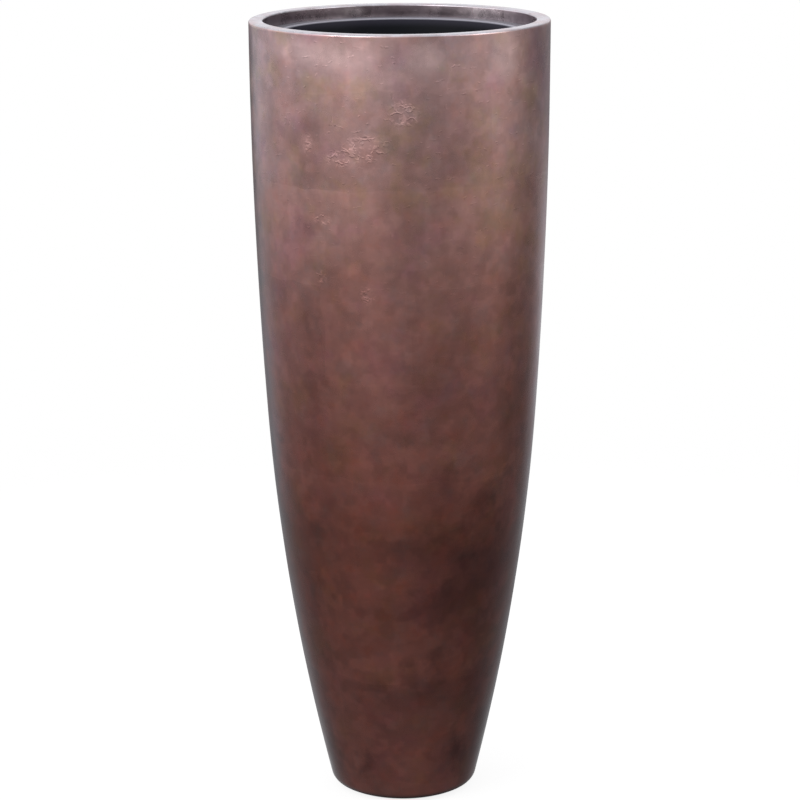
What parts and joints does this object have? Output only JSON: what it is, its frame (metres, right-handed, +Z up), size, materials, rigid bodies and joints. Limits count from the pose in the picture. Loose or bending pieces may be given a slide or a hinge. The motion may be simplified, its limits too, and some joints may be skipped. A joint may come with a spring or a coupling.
{
  "type": "vase planter",
  "caption": "Tall round tapered floor planter: a hollow shell with a metal-leaf finish, a flat-lipped rim ring, and a liner that lifts out for the plant.",
  "frame": {"origin": "centre of the foot at floor level, where the pads stand", "axes": "+Z up along the axis of the planter; +X and +Y are level, and one foot pad stands between them"},
  "size_m": [0.47, 0.47, 1.25],
  "materials": {
    "leaf_finish": "satin",
    "liner_plastic": "satin",
    "rubber": "matte"
  },
  "bodies": {
    "body": {"outer_shell": "leaf_finish", "rim_ring": "leaf_finish", "foot_pad_1": "rubber", "foot_pad_2": "rubber", "foot_pad_3": "rubber", "foot_pad_4": "rubber"},
    "liner": {"liner": "liner_plastic"},
    "bung": {"drain_bung": "rubber"}
  },
  "joints": [
    {"name": "liner_lift", "type": "slide", "parent": "body", "child": "liner", "axis": [0, 0, 1], "range_m": [0, 0.38]},
    {"name": "bung_pull", "type": "slide", "parent": "body", "child": "bung", "axis": [0, 0, -1], "range_m": [0, 0.03]}
  ]
}
